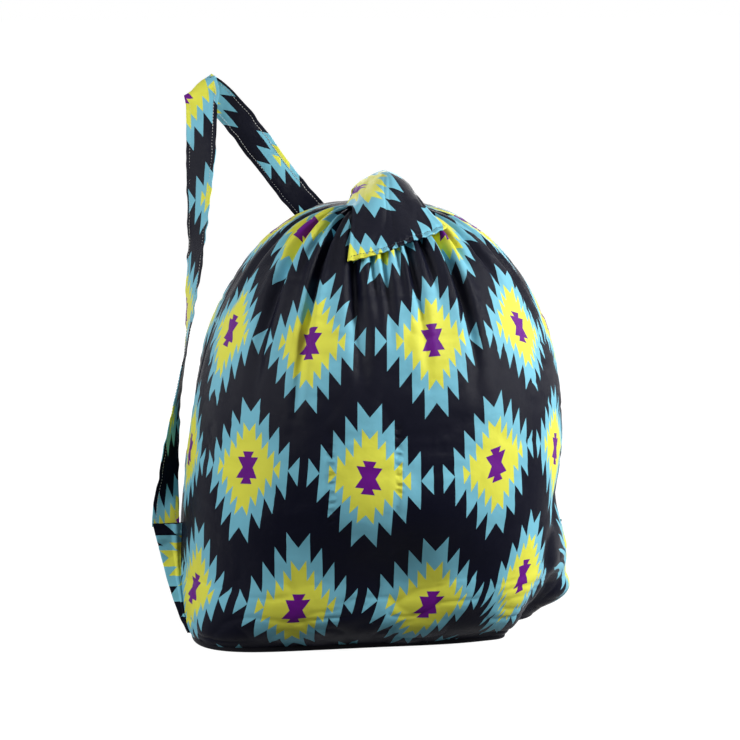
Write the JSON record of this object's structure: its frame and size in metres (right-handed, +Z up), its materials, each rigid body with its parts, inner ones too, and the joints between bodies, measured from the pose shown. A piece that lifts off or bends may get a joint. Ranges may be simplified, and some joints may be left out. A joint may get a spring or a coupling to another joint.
{
  "type": "drawstring backpack",
  "caption": "Light foldable backpack of printed cloth, stuffed full, with a gathered drawstring mouth, a closing flap, thin shoulder straps and triangular anchor tabs.",
  "frame": {"origin": "middle of the underside of the base panel, on the floor that the bag stands on", "axes": "+Z up, -Y the front of the bag, +X the viewer's right; the standing strap is at -X"},
  "size_m": [0.43, 0.3632, 0.5428],
  "materials": {
    "body_cloth": "thin woven nylon, slightly shiny, printed with rows of stepped diamonds",
    "flap_cloth": "the same printed nylon, two layers",
    "strap_cloth": "the same printed nylon folded to a flat strap, edges stitched",
    "tab_cloth": "the same printed nylon, folded and stitched",
    "base_cloth": "plain dark nylon, matt",
    "pocket_cloth": "plain dark nylon, matt",
    "cord": "braided cord"
  },
  "bodies": {
    "root": {"front_panel": "body_cloth", "back_panel": "body_cloth", "base_panel": "base_cloth", "mouth_casing": "body_cloth", "drawcord": "cord", "closing_flap": "flap_cloth", "strap_left": "strap_cloth", "strap_right": "strap_cloth", "wing_left": "tab_cloth", "wing_right": "tab_cloth", "inner_pocket": "pocket_cloth"}
  },
  "joints": []
}
